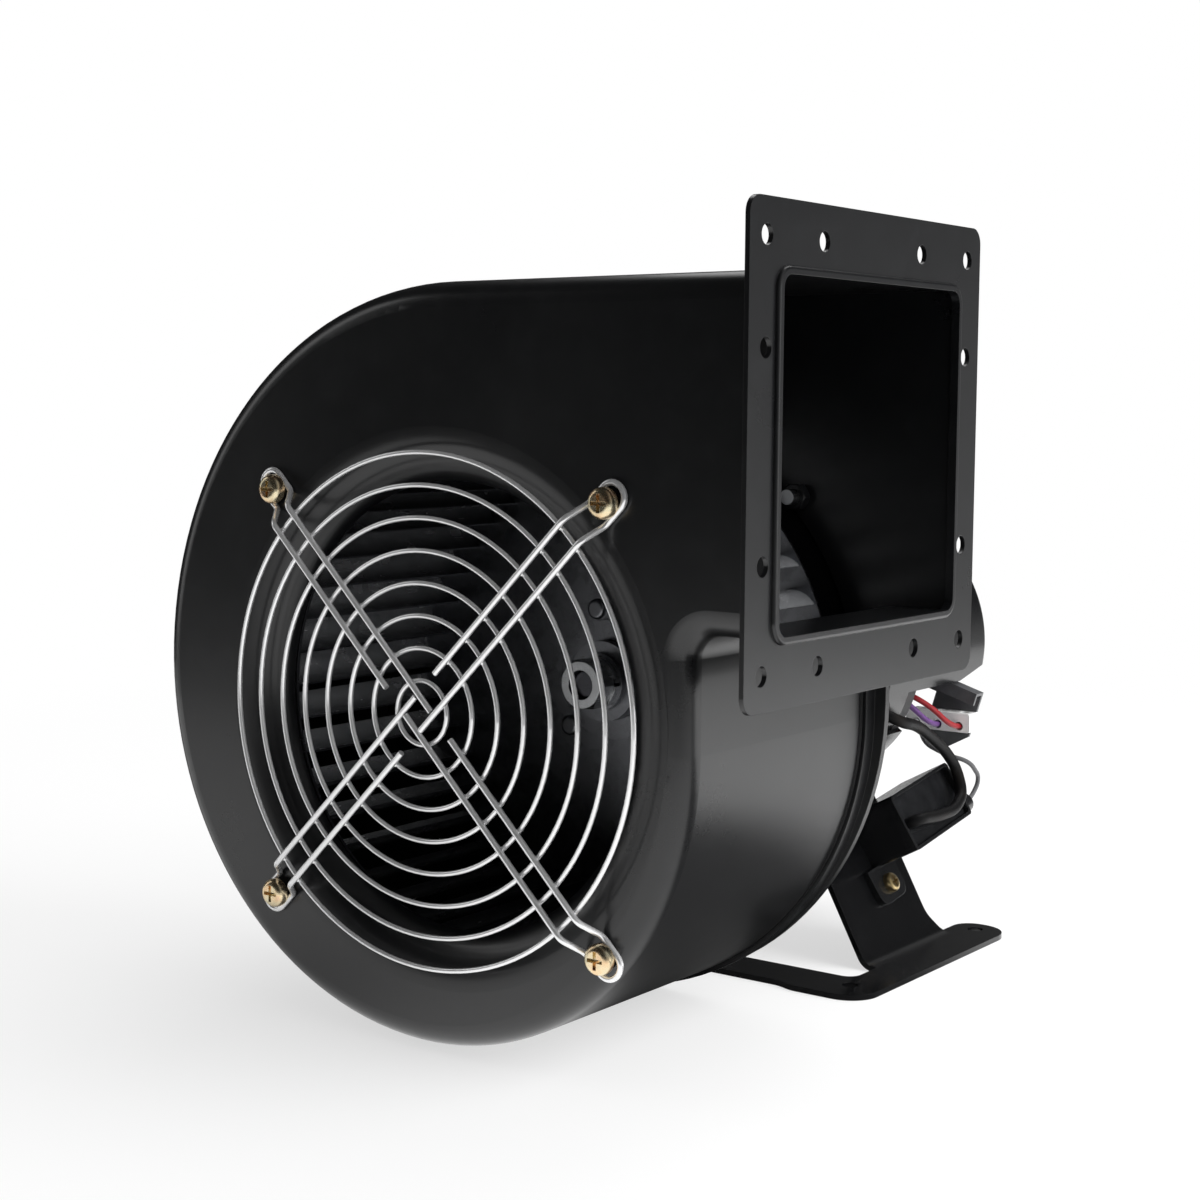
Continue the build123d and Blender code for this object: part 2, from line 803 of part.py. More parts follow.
def build_motor_shell():
    shell = ring(shell_inner, motor_radius, shell_front, shell_back)
    hole = outward(sleeve_exit_angle, shell_inner - 2, sleeve_exit_y) * extrude(Circle(grommet_hole),
                                                                                2 * motor_wall + 2)
    shell -= hole
    for plane in saddle_screw_planes(shell_inner - 2):
        shell -= plane * extrude(Circle(m4_radius + nut_play), 2 * motor_wall + 2)
    for angle in hood_screw_angles:
        shell -= outward(angle, shell_inner - 2, hood_screw_y) * extrude(Circle(m3_radius + nut_play),
                                                                         2 * motor_wall + 2)
    return shell


def build_stator_core():
    outer = shell_inner - core_fit
    core = ring(core_bore, outer, core_front, core_back)
    middle = (slot_inner + slot_outer) / 2
    slot = slab(Pos(middle, 0) * Rectangle(slot_outer - slot_inner, slot_width), core_front - 1,
                core_back + 1)
    mouth = slab(Pos(core_bore, 0) * Rectangle(2 * (slot_inner - core_bore) + 1, slot_width * 0.5),
                 core_front - 1,
                 core_back + 1)
    cutter = slot + mouth
    core -= group(around(cutter, 360.0 / slot_count * (n + 0.5)) for n in range(slot_count))
    for n in range(4):
        core -= around(slab(Pos(tie_circle, 0) * Circle(m4_radius + screw_play), core_front - 1,
                            core_back + 1), 90.0 * n)
    return core


def build_stator_windings():
    """Two end turns joined by the bars that lie in the slots."""
    middle = (winding_inner + winding_outer) / 2
    bars_inner = slot_inner + winding_play
    bars_outer = slot_outer - winding_play
    bar = slab(Pos((bars_inner + bars_outer) / 2, 0) * Rectangle(bars_outer - bars_inner,
                                                                 slot_width - 2 * winding_play),
               core_front - winding_play - 1, core_back + winding_play + 1)
    coil = RectangleRounded(winding_outer - winding_inner, winding_length, 4.0)
    front_turn = turned(Pos(middle, core_front - winding_play - winding_length / 2) * coil)
    back_turn = turned(Pos(middle, core_back + winding_play + winding_length / 2) * coil)
    windings = front_turn + back_turn
    return windings + [around(bar, 360.0 / slot_count * (n + 0.5)) for n in range(slot_count)]


def saddle_screw_planes(radius):
    """Seats of the four screws that hold the stand to the motor shell."""
    middle = (leg_front + leg_back) / 2
    planes = []
    for angle in (leg_angle + saddle_screw_angle, 180 - leg_angle - saddle_screw_angle):
        planes += [outward(angle, radius, middle + side * saddle_screw_pitch / 2) for side in (-1, 1)]
    return planes


def rounded(face, corners):
    """Flat outline with some corners rounded, each given as (x, y, radius)."""
    for x, y, radius in corners:
        face = fillet(face.vertices().sort_by_distance((x, y, 0))[0], radius)
    return face


def leg_section():
    """Cross-section of the right rail and leg, with x across and y up from the base."""
    turn = math.radians(lean)
    along = Vector(-math.sin(turn), math.cos(turn))
    through = Vector(-math.cos(turn), -math.sin(turn)) * stand_sheet
    top = Vector(bend_x, stand_sheet)
    reach = math.hypot(bend_x, axis_height - stand_sheet) - motor_radius - saddle_gap - stand_sheet / 2
    inner_top = top + through + along * reach
    outer_top = top + along * reach
    heel = top + through - along * ((top + through).Y / along.Y)
    face = make_face(Polyline((heel.X, 0), (inner_top.X, inner_top.Y), (outer_top.X, outer_top.Y),
                              (top.X, top.Y),
                              (base_half_width, stand_sheet), (base_half_width, 0), close=True))
    return rounded(face, [(top.X, top.Y, bend_radius), (heel.X, 0, bend_radius + stand_sheet)])


def saddle_section():
    """Curved flange that lies against the motor shell, from the leg outwards."""
    inner = motor_radius + saddle_gap
    outer = inner + stand_sheet
    start = leg_angle - math.degrees(stand_sheet / inner)
    size = saddle_sweep + math.degrees(stand_sheet / inner)
    low = CenterArc((0, axis_height), inner, start, size)
    high = CenterArc((0, axis_height), outer, start, size)
    return make_face([low, high, Line(low @ 0, high @ 0), Line(low @ 1, high @ 1)])


def along_y(face, front, back):
    """Solid of an XZ cross-section between two values of Y."""
    return extrude(Plane(origin=(0, front, 0), x_dir=(1, 0, 0), z_dir=(0, -1, 0)) * face, amount=front - back)


def leg_shape():
    """Side view of the leg, as a cutter across X: straight in front, flared at the rear of its root."""
    waist = stand_sheet + leg_flare
    face = make_face(Polyline((leg_front, -1), (leg_root_back, -1), (leg_root_back, stand_sheet),
                              (leg_back, waist),
                              (leg_back, axis_height), (leg_front, axis_height), close=True))
    side = Plane(origin=(0, 0, 0), x_dir=(0, 1, 0), z_dir=(1, 0, 0))
    return extrude(side * rounded(face, [(leg_back, waist, leg_flare)]), amount=base_half_width)


def build_base_plate():
    """Flat base: two side rails joined by a strip at the front, open at the rear."""
    strip_y = base_front + strip_setback
    ear_start = strip_half_length + strip_slope
    half = [
        (strip_half_length, strip_y, strip_corner),
        (ear_start, base_front, strip_corner),
        (base_half_width, base_front, base_corner),
        (base_half_width, base_back, base_corner),
        (ear_inner, base_back, ear_inner_corner),
        (ear_inner, leg_root_back, 0),
        (rail_inner, leg_root_back, 0),
        (rail_inner, strip_back, window_corner),
    ]
    corners = half + [(-x, y, radius) for x, y, radius in reversed(half)]
    plate = make_face(Polyline([(x, y) for x, y, radius in corners], close=True))
    plate = rounded(plate, [corner for corner in corners if corner[2] > 0])
    for x, y in corner_points(2 * (base_half_width - base_hole_inset), base_hole_pitch):
        plate -= Pos(x, y) * Circle(base_hole_radius)
    return extrude(plate, stand_sheet)


def build_stand():
    leg = along_y(leg_section(), leg_front, leg_root_back) & leg_shape()
    leg += along_y(saddle_section(), leg_front, leg_back)
    stand = build_base_plate() + leg + mirror(leg, Plane.YZ)
    for plane in saddle_screw_planes(motor_radius - 1):
        stand -= plane * extrude(Circle(m4_radius + screw_play), 2 * stand_sheet + 2)
    return stand - cap_plane() * Cylinder(m4_radius + screw_play, 6 * stand_sheet)


def build_saddle_screws():
    screw = pan_screw(m4_radius, saddle_screw_length, m4_head_radius, m4_head_height)
    seat = motor_radius + saddle_gap + stand_sheet + 0.15
    return group(plane * screw for plane in saddle_screw_planes(seat))


def leg_plane():
    """Outer face of the right leg: local x is Y, local y runs up the leg, zero level with the axis."""
    tilt = math.radians(lean)
    return Plane(origin=(0, 0, axis_height), x_dir=(0, 1, 0), z_dir=(math.cos(tilt), 0, math.sin(tilt)))


def cap_plane():
    """Plane of the capacitor on the leg, with its origin at the screw and x along the case."""
    seat = leg_plane()
    turn = math.radians(cap_turn)
    origin = seat.from_local_coords(Vector(cap_screw_y, -cap_screw_below, 0))
    return Plane(origin=origin, x_dir=seat.x_dir * math.cos(turn) + seat.y_dir * math.sin(turn),
                 z_dir=seat.z_dir)


def cap_box(margin, low, high):
    """Block inside the capacitor's outline, between two distances from the leg."""
    middle = Pos(cap_left + cap_length / 2, cap_low + cap_height / 2, (low + high) / 2)
    block = middle * Box(cap_length - 2 * margin, cap_height - 2 * margin, high - low)
    return fillet(block.edges().filter_by(Axis.Z), cap_corner - margin / 2)


def build_capacitor_case():
    ear = Pos(0, (cap_low + 1 - ear_drop) / 2, ear_thickness / 2) * Box(ear_width, cap_low + 1 + ear_drop,
                                                                        ear_thickness)
    ear = fillet(ear.edges().filter_by(Axis.Z).group_by(Axis.Y)[0], ear_corner)
    case = cap_box(0, 0, cap_depth) - cap_box(cap_wall, cap_depth - cap_pocket, cap_depth + 1)
    return cap_plane() * (case + ear - Cylinder(m4_radius + screw_play, 6 * ear_thickness))


def build_capacitor_resin():
    return cap_plane() * cap_box(cap_wall + core_fit, cap_depth - cap_pocket, cap_depth - cap_recess)


def build_capacitor_screw():
    screw = pan_screw(m4_radius, 10.0, m4_head_radius, m4_head_height)
    return cap_plane() * (Pos(0, 0, ear_thickness) * screw)


def build_capacitor_nut():
    nut = hex_nut(m4_nut_flats, m4_nut_height, m4_radius + nut_play)
    return cap_plane() * (Pos(0, 0, -stand_sheet - m4_nut_height) * nut)


def build_wiring_hood():
    inner = motor_radius + seat_gap
    outer = inner + hood_sheet
    body = ring(0, outer, hood_front, hood_back)
    body = fillet(body.edges().group_by(Axis.Y)[-1], hood_corner)
    hollow = ring(0, inner, hood_front - 1, hood_back - hood_sheet)
    hollow = fillet(hollow.edges().group_by(Axis.Y)[-1], hood_corner - hood_sheet)
    hood = body - hollow
    rise = hood_rear_edge - hood_edge
    side = [(hood_front - 1, -2 * outer), (hood_back + 1, -2 * outer), (hood_back + 1, hood_rear_edge + 0.3),
            (hood_back - hood_rear_cut, hood_rear_edge - rise), (hood_front - 1, hood_edge)]
    below = make_face(Polyline(side, close=True))
    cutter = extrude(Plane(origin=(-2 * outer, 0, axis_height), x_dir=(0, 1, 0), z_dir=(1, 0, 0)) * below,
                     4 * outer)
    hood -= cutter
    for angle in hood_screw_angles:
        hood -= outward(angle, inner - 2, hood_screw_y) * extrude(Circle(m3_radius + screw_play),
                                                                  2 * hood_sheet + 4)
    return hood


def build_hood_screws():
    screw = pan_screw(m3_radius, hood_screw_length, m3_head_radius, m3_head_height)
    seat = motor_radius + seat_gap + hood_sheet + 0.05
    return group(outward(angle, seat, hood_screw_y) * screw for angle in hood_screw_angles)


def droop_plane(y):
    """Plane across the axis whose local x droops with the terminal bracket."""
    tilt = math.radians(bracket_droop)
    return Plane(origin=(0, y, axis_height), x_dir=(math.cos(tilt), 0, -math.sin(tilt)), z_dir=(0, -1, 0))


def droop_box(u_low, u_high, v_low, v_high, front, back):
    face = Pos((u_low + u_high) / 2, (v_low + v_high) / 2) * Rectangle(u_high - u_low, v_high - v_low)
    return extrude(droop_plane(front) * face, amount=front - back)


def build_terminal_bracket():
    """Bent strip: foot on the rear shield, arm to the rear, and a flag that carries the block."""
    front = bracket_plane
    back = bracket_plane + bracket_sheet
    foot_outer = bracket_inner + foot_width
    points = [(bracket_inner, 0), (bracket_reach, 0), (bracket_reach, flag_cut - flag_height),
              (bracket_reach - flag_cut, -flag_height), (flag_inner, -flag_height), (flag_inner,
                                                                                     -bracket_arm_height),
              (bracket_inner, -bracket_arm_height)]
    flag = extrude(droop_plane(front) * make_face(Polyline(points, close=True)), amount=front - back)
    arm = droop_box(bracket_inner, foot_outer, -bracket_sheet, 0, tail_y, back)
    foot = droop_box(bracket_inner, foot_outer, -bracket_sheet, foot_height, tail_y, tail_y + bracket_sheet)
    shelf = droop_box(flag_inner, bracket_reach, -bracket_sheet, 0, front - bar_depth, back)
    bar = droop_box(flag_inner, bracket_reach, -bar_height, 0, front - bar_depth,
                    front - bar_depth + bracket_sheet)
    bracket = flag + arm + foot + shelf + bar
    u = bracket_inner + foot_width / 2
    hole = droop_plane(tail_y - 1) * (Pos(u, foot_height * 0.55) * Circle(m3_radius + screw_play))
    return bracket - extrude(hole, amount=-4 * bracket_sheet)


def build_bracket_screw():
    screw = pan_screw(m3_radius, bracket_sheet + 4.0, m3_head_radius, m3_head_height)
    u = bracket_inner + foot_width / 2
    seat = droop_plane(tail_y + bracket_sheet)
    tilt = math.radians(bracket_droop)
    place = seat.origin + seat.x_dir * u + seat.y_dir * (foot_height * 0.55)
    return Plane(origin=place, x_dir=(math.cos(tilt), 0, -math.sin(tilt)), z_dir=(0, 1, 0)) * screw


def port_x(n):
    """X of one way of the terminal block."""
    return block_centre[0] + block_length / block_ways * (n - (block_ways - 1) / 2)


def build_terminal_block():
    """Nylon block: a wire port in front and a screw well above for each way, and one port below."""
    x, z = block_centre
    back = bracket_plane
    front = back - block_depth
    middle = (front + back) / 2
    block = slab(Pos(x, z) * RectangleRounded(block_length, block_height, 1.0), front, back)
    for n in range(block_ways):
        port = slab(Pos(port_x(n), z - block_port_drop) * Circle(block_port_radius), front - 1, back - 2)
        well = Pos(port_x(n), middle + block_screw_behind, axis_height + z + block_height / 2)
        block -= [port, well * Cylinder(block_screw_radius, block_height)]
    low_port = Pos(port_x(0), middle, axis_height + z - block_height / 2) * Cylinder(block_port_radius,
                                                                                     block_height)
    return block - low_port


def build_terminal_screws():
    x, z = block_centre
    screws = []
    for n in range(block_ways):
        place = Pos(port_x(n), bracket_plane - block_depth / 2 + block_screw_behind, axis_height + z + 1.7)
        body = Cylinder(block_screw_radius - fit_gap, 2.0) - Pos(0, 0, 1) * Box(6.0, 0.6, 1.2)
        screws.append(place * body)
    return group(screws)


def build_sleeve_grommet():
    """Rubber bush in the motor shell that the black sleeve leaves through."""
    seat = outward(sleeve_exit_angle, motor_radius, sleeve_exit_y)
    bush = Pos(0, 0, grommet_height / 2 - motor_wall / 2) * Cylinder(grommet_hole - core_fit,
                                                                     motor_wall + grommet_height)
    collar = Pos(0, 0, 0.25 + grommet_height / 2) * Cylinder(grommet_flange, grommet_height - 0.5)
    bore = Cylinder(sleeve_radius + grommet_play, 6 * grommet_height)
    return seat * (bush + collar - bore)


def tube_along(points, radius, name):
    """Round tube on straight runs joined by tangent arcs, each as large as its runs allow."""
    bends = []
    runs = [Vector(after) - Vector(before) for before, after in zip(points, points[1:])]
    shares = [0.9] + [0.45] * (len(runs) - 2) + [0.9]
    for n in range(len(runs) - 1):
        turn = math.radians(runs[n].get_angle(runs[n + 1]))
        room = min(runs[n].length * shares[n], runs[n + 1].length * shares[n + 1])
        bends.append(room / math.tan(turn / 2))
    path = FilletPolyline(points, radius=bends)
    tube = sweep(Plane(origin=path @ 0, z_dir=path % 0) * Circle(radius), path)
    expected = math.pi * radius ** 2 * path.length
    print(name, "bend radii", [round(bend, 1) for bend in bends], "length", round(path.length, 1),
          "volume share", round(tube.volume / expected, 4))
    return tube


def on_leg(y, below, off):
    """Point given by its Y, its distance below the axis along the leg, and how far it is off the leg."""
    point = leg_plane().from_local_coords(Vector(y, -below, off))
    return (point.X, point.Y, point.Z)


def off_shell(angle, radius, y):
    """Point at a distance from the wheel axis, at an angle above +X."""
    turn = math.radians(angle)
    return (radius * math.cos(turn), y, axis_height + radius * math.sin(turn))


def build_capacitor_sleeve():
    """Sleeved lead from the motor shell, round the capacitor's rear end and into its open face."""
    resin = cap_depth - cap_recess
    points = [
        off_shell(sleeve_exit_angle, shell_inner + 0.5, sleeve_exit_y),
        off_shell(sleeve_exit_angle, motor_radius + 9.0, sleeve_exit_y),
        (52.7, 24.0, axis_height - 26.0),
        (51.8, 37.0, axis_height - 31.9),
        (52.0, 49.2, axis_height - 38.9),
        on_leg(56.5, 66.5, 24.5),
        on_leg(54.0, 77.0, 23.8),
        on_leg(43.0, 82.0, 23.6),
        on_leg(27.0, 82.2, 23.6),
        on_leg(14.0, 81.0, 23.6),
        on_leg(14.0, 81.0, resin + 0.05),
    ]
    return tube_along(points, sleeve_radius, "capacitor_sleeve")


def build_lead_boss():
    """Boss on the capacitor's rear end that the thin lead enters."""
    low, off = boss_place
    place = Pos(cap_left + cap_length, low, off)
    return cap_plane() * place * (Rot(0, 90, 0) * extrude(Circle(boss_radius), boss_height))


def build_capacitor_lead():
    """Thin lead from below the terminal block, in a wide loop to the boss on the capacitor."""
    low, off = boss_place
    boss_end = cap_left + cap_length + boss_height
    last = cap_plane().from_local_coords(Vector(boss_end + 0.05, low, off))
    before = cap_plane().from_local_coords(Vector(boss_end + 7.0, low, off))
    port_z = axis_height + block_centre[1] - block_height / 2
    points = [
        (port_x(0), bracket_plane - block_depth / 2, port_z + 1.3),
        (port_x(0), bracket_plane - block_depth / 2, port_z - 6.0),
        (45.0, 64.0, axis_height - 43.5),
        (53.0, 69.0, axis_height - 46.0),
        on_leg(79.0, 73.0, 20.5),
        (before.X, before.Y, before.Z),
        (last.X, last.Y, last.Z),
    ]
    return tube_along(points, thin_lead_radius, "capacitor_lead")


def signal_lead(radius, angle, middle, n, name):
    """Coloured lead from a vent of the rear shield to one way of the terminal block."""
    start = off_shell(angle, radius, vent_exit_y)
    leave = off_shell(angle, radius, tail_y + 6.0)
    z = axis_height + block_centre[1] - block_port_drop
    front = bracket_plane - block_depth
    points = [start, leave] + middle + [(port_x(n), front - 5.0, z), (port_x(n), front + 2.0, z)]
    return tube_along(points, lead_radius, name)


nodes = {
    "front_shell": build_front_shell(),
    "rear_cover": build_rear_cover(),
    "outlet_flange": build_outlet_flange(),
    "guard_rings": build_guard_rings(),
    "guard_arms": build_guard_arms(),
    "guard_screws": build_guard_screws(),
    "wheel_blades": build_wheel_blades(),
    "wheel_backplate": build_wheel_backplate(),
    "wheel_front_ring": build_wheel_front_ring(),
    "wheel_hub": build_wheel_hub(),
    "hub_collar": build_hub_collar(),
    "hub_rivets": build_hub_rivets(),
    "flat_washer": build_flat_washer(),
    "spring_washer": build_spring_washer(),
    "hub_nut": build_hub_nut(),
    "motor_shaft": build_motor_shaft(),
    "rotor_core": build_rotor_core(),
    "rotor_cage": build_rotor_cage(),
    "bearing_inner_rings": bearing_rings(True),
    "bearing_outer_rings": bearing_rings(False),
    "bearing_balls": build_bearing_balls(),
    "wave_washer": build_wave_washer(),
    "motor_plate": build_motor_plate(),
    "motor_plate_screws": build_motor_plate_screws(),
    "motor_plate_nuts": build_motor_plate_nuts(),
    "shield_screws": build_shield_screws(),
    "front_shield": build_front_shield(),
    "rear_shield": build_rear_shield(),
    "tie_bolts": build_tie_bolts(),
    "motor_shell": build_motor_shell(),
    "stator_core": build_stator_core(),
    "stator_windings": build_stator_windings(),
    "stand": build_stand(),
    "saddle_screws": build_saddle_screws(),
    "capacitor_case": build_capacitor_case(),
    "capacitor_resin": build_capacitor_resin(),
    "capacitor_screw": build_capacitor_screw(),
    "capacitor_nut": build_capacitor_nut(),
    "wiring_hood": build_wiring_hood(),
    "hood_screws": build_hood_screws(),
    "terminal_bracket": build_terminal_bracket(),
    "bracket_screw": build_bracket_screw(),
    "terminal_block": build_terminal_block(),
    "terminal_screws": build_terminal_screws(),
    "sleeve_grommet": build_sleeve_grommet(),
    "capacitor_sleeve": build_capacitor_sleeve(),
    "lead_boss": build_lead_boss(),
    "capacitor_lead": build_capacitor_lead(),
    "lead_red": signal_lead(34.0, -vent_turn, [(46.0, 46.0, axis_height - 21.0)], 2, "lead_red"),
    "lead_violet": signal_lead(30.0, -vent_turn, [(37.0, 47.0, axis_height - 22.0)], 1, "lead_violet"),
    "lead_white": signal_lead(vent_circle, -3 * vent_turn, [(24.0, 47.0, axis_height - 30.5)], 0,
                              "lead_white"),
}

os.makedirs("parts", exist_ok=True)
for node, shape in nodes.items():
    export_step(shape, f"parts/{node}.step")
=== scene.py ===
import json
import math
import bmesh
import bpy
from mathutils import Matrix, Vector


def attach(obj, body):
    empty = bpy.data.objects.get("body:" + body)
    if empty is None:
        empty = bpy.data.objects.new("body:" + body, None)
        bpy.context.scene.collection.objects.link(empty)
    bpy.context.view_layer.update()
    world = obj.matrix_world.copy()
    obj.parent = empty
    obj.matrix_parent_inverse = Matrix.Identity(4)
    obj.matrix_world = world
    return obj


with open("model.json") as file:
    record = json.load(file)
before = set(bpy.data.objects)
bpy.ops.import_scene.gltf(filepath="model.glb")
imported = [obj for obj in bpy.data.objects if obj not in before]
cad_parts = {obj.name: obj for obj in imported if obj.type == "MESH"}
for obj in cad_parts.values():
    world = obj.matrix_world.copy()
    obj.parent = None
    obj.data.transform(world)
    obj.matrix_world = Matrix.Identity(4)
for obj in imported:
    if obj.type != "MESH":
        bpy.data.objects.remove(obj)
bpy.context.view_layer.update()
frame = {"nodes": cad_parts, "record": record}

MM = 0.001
AXIS_HEIGHT = 110 * MM
RING_PITCH = 10 * MM
RING_COUNT = 8
ARM_SPREAD = 8.7 * MM
WHEEL_RADIUS = 87 * MM
WHEEL_INSIDE = 73 * MM
WELD_PLANE = -200.85 * MM
WELD_HALF_SIZE = (0.95 * MM, 0.55 * MM, 1.25 * MM)

# Directions in which the room mirrored by gloss is bright, has a brighter strip, and has a dark patch
ROOM_BRIGHT = (0.80, 0.58, 0.16)
ROOM_STRIP = (0.90, 0.42, -0.09)
ROOM_DARK = (0.39, 0.80, 0.45)

# The photograph's viewpoint
CAMERA_ANGLES = (36.45, 5.47, 0.44)
CAMERA_PLACE = (415.28 * MM, -670.59 * MM, 205.15 * MM)
CAMERA_LENS = 61.61
SENSOR_WIDTH = 36


# Shader values written as sums

class Value:
    """A shader socket on which sums, products and powers are written as Python."""

    def __init__(self, finish, socket):
        self.finish = finish
        self.socket = socket

    def __add__(self, other):
        return self.finish.sum("ADD", self, other)

    def __radd__(self, other):
        return self.finish.sum("ADD", other, self)

    def __sub__(self, other):
        return self.finish.sum("SUBTRACT", self, other)

    def __rsub__(self, other):
        return self.finish.sum("SUBTRACT", other, self)

    def __mul__(self, other):
        return self.finish.sum("MULTIPLY", self, other)

    def __rmul__(self, other):
        return self.finish.sum("MULTIPLY", other, self)

    def __pow__(self, other):
        return self.finish.sum("POWER", self, other)


class Finish:
    """A material being put together on one Principled shader."""

    def __init__(self, name, tree=None):
        if tree is None:
            self.material = bpy.data.materials.new(name)
            self.material.use_nodes = True
            tree = self.material.node_tree
        self.tree = tree
        self.tree.nodes.clear()

    def add(self, kind, settings=None, inputs=None, output=0):
        """One node: its settings first, then the values or links of its sockets."""
        node = self.tree.nodes.new(kind)
        for name, value in (settings or {}).items():
            if name == "stops":
                self.set_stops(node.color_ramp, value)
            else:
                setattr(node, name, value)
        for name, value in (inputs or {}).items():
            if isinstance(value, Value):
                self.tree.links.new(value.socket, node.inputs[name])
            else:
                node.inputs[name].default_value = value
        return Value(self, node.outputs[output]) if node.outputs else node

    def set_stops(self, ramp, stops):
        """Colour stops of a ramp, each a position and a colour."""
        while len(ramp.elements) < len(stops):
            ramp.elements.new(0.5)
        for element, (position, colour) in zip(ramp.elements, stops):
            element.position = position
            element.color = (*colour, 1)

    def sum(self, operation, first, second):
        return self.add("ShaderNodeMath", {"operation": operation}, {0: first, 1: second})

    def place(self, scale=(1, 1, 1), shift=(0, 0, 0)):
        """Object coordinates, moved and then stretched."""
        coords = self.add("ShaderNodeTexCoord", output="Object")
        moved = self.add("ShaderNodeVectorMath", {"operation": "ADD"}, {0: coords, 1: shift})
        return self.add("ShaderNodeVectorMath", {"operation": "MULTIPLY"}, {0: moved, 1: scale})

    def cloud(self, scale, detail=3.0, stretch=(1, 1, 1), rough=0.5):
        """Soft noise between 0 and 1, with a scale in cells per metre."""
        return self.add("ShaderNodeTexNoise", {}, {
            "Vector": self.place(stretch), "Scale": scale, "Detail": detail, "Roughness": rough})

    def cells(self, scale, feature="F1", output="Color"):
        return self.add("ShaderNodeTexVoronoi", {"feature": feature}, {
            "Vector": self.place(), "Scale": scale}, output)

    def grey(self, colour):
        return self.add("ShaderNodeRGBToBW", {}, {0: colour})

    def spread(self, value, low, high, to_low=0.0, to_high=1.0):
        """Smooth step of a value from one range to another."""
        return self.add("ShaderNodeMapRange", {"interpolation_type": "SMOOTHSTEP"}, {
            "Value": value, "From Min": low, "From Max": high, "To Min": to_low, "To Max": to_high})

    def ramp(self, value, *stops):
        return self.add("ShaderNodeValToRGB", {"stops": stops}, {"Fac": value})

    def blend(self, share, first, second):
        """Colour between two colours."""
        first, second = [c if isinstance(c, Value) else (*c, 1) for c in (first, second)]
        return self.add("ShaderNodeMix", {"data_type": "RGBA"}, {0: share, 6: first, 7: second}, 2)

    def split(self, vector):
        node = self.tree.nodes.new("ShaderNodeSeparateXYZ")
        self.tree.links.new(vector.socket, node.inputs[0])
        return [Value(self, socket) for socket in node.outputs]

    def toward(self, way, direction):
        """How far a direction leans toward another, 1 where they agree."""
        return self.add("ShaderNodeVectorMath", {"operation": "DOT_PRODUCT"}, {0: way, 1: direction}, "Value")

    def from_axis(self):
        """Distance from the wheel axis."""
        x, _, z = self.split(self.place(shift=(0, 0, -AXIS_HEIGHT)))
        return (x * x + z * z) ** 0.5

    def relief(self, height, depth, edge=0.3):
        """Normal from a height pattern on edges rounded by a radius in millimetres."""
        rounded = self.add("ShaderNodeBevel", {"samples": 4}, {"Radius": edge * MM})
        return self.add("ShaderNodeBump", {}, {
            "Strength": 1.0, "Distance": depth * MM, "Height": height, "Normal": rounded})

    def surface(self, **sockets):
        """Ends the material with its Principled shader, whose sockets are named here."""
        inputs = {}
        for name, value in sockets.items():
            socket = name.replace("_", " ").title().replace("Ior", "IOR")
            if isinstance(value, tuple) and len(value) == 3:
                value = (*value, 1)
            inputs[socket] = value
        shader = self.add("ShaderNodeBsdfPrincipled", {}, inputs)
        self.add("ShaderNodeOutputMaterial", {}, {"Surface": shader})
        return self.material


# Finishes

def sheet_paint(name, colour, gloss=0.30):
    """Powder coat on sheet steel: fine orange peel, a little cloudiness in its gloss."""
    f = Finish(name)
    peel = f.cloud(1500, 2.0)
    broad = f.cloud(16, 3.0)
    dust = f.cloud(90, 6.0, rough=0.7)
    pale = tuple(min(1.0, c * 2.0 + 0.002) for c in colour)
    tone = f.blend(f.spread(dust, 0.45, 0.85, 0.0, 0.5), colour, pale)
    return f.surface(base_color=tone, roughness=gloss + (broad - 0.5) * 0.14 + (dust - 0.5) * 0.06,
                     coat_weight=0.25, coat_roughness=0.16, normal=f.relief(peel, 0.010, 0.35))


def cast_paint(name, colour):
    """Thin paint on a die casting, whose grain shows through it."""
    f = Finish(name)
    grain = f.cloud(900, 5.0, rough=0.7)
    broad = f.cloud(30, 3.0)
    pale = tuple(c * 1.9 for c in colour)
    return f.surface(base_color=f.blend(grain, colour, pale), roughness=0.36 + broad * 0.2,
                     normal=f.relief(grain, 0.05, 0.4))


def chrome(name):
    """Bright plated wire, with faint drawing lines under the plating."""
    f = Finish(name)
    lines = f.cloud(500, 4.0, rough=0.7)
    broad = f.cloud(60, 2.0)
    tone = f.blend(broad, (0.84, 0.84, 0.85), (0.95, 0.95, 0.95))
    return f.surface(base_color=tone, metallic=0.72, roughness=0.14 + lines * 0.14,
                     normal=f.relief(lines, 0.006, 0.1))


def yellow_zinc(name):
    """Yellow passivated zinc, whose tint wanders between straw, rose and pale green."""
    f = Finish(name)
    drift = f.cloud(260, 3.0)
    grain = f.cloud(2200, 4.0, rough=0.7)
    tint = f.ramp(drift, (0.30, (0.74, 0.68, 0.48)), (0.46, (0.84, 0.70, 0.46)),
                  (0.60, (0.84, 0.60, 0.36)), (0.74, (0.74, 0.50, 0.40)))
    return f.surface(base_color=tint, metallic=1.0, roughness=0.18 + grain * 0.18,
                     normal=f.relief(grain, 0.010, 0.15))


def galvanised(name):
    """Zinc-coated sheet with its spangle and a light rolling grain, with painted shade that darkens it to
    near black towards the wheel's inside.
    """
    f = Finish(name)
    spangle = f.grey(f.cells(230))
    rolled = f.cloud(300, 4.0, stretch=(1, 0.06, 1), rough=0.7)
    tone = f.ramp(spangle * 0.5 + rolled * 0.5,
                  (0.30, (0.40, 0.41, 0.43)), (0.70, (0.54, 0.55, 0.57)))
    # Painted shade: the colour fades to near black from the blades' outer edge in to the wheel's inside.
    free_of_painted_shade = f.spread(f.from_axis(), WHEEL_INSIDE, WHEEL_RADIUS, 0.0, 1.0)
    tone = f.blend(free_of_painted_shade, (0.04, 0.04, 0.045), tone)
    return f.surface(base_color=tone, metallic=0.75, roughness=0.20 + spangle * 0.05 + rolled * 0.06,
                     normal=f.relief(rolled, 0.012, 0.2))


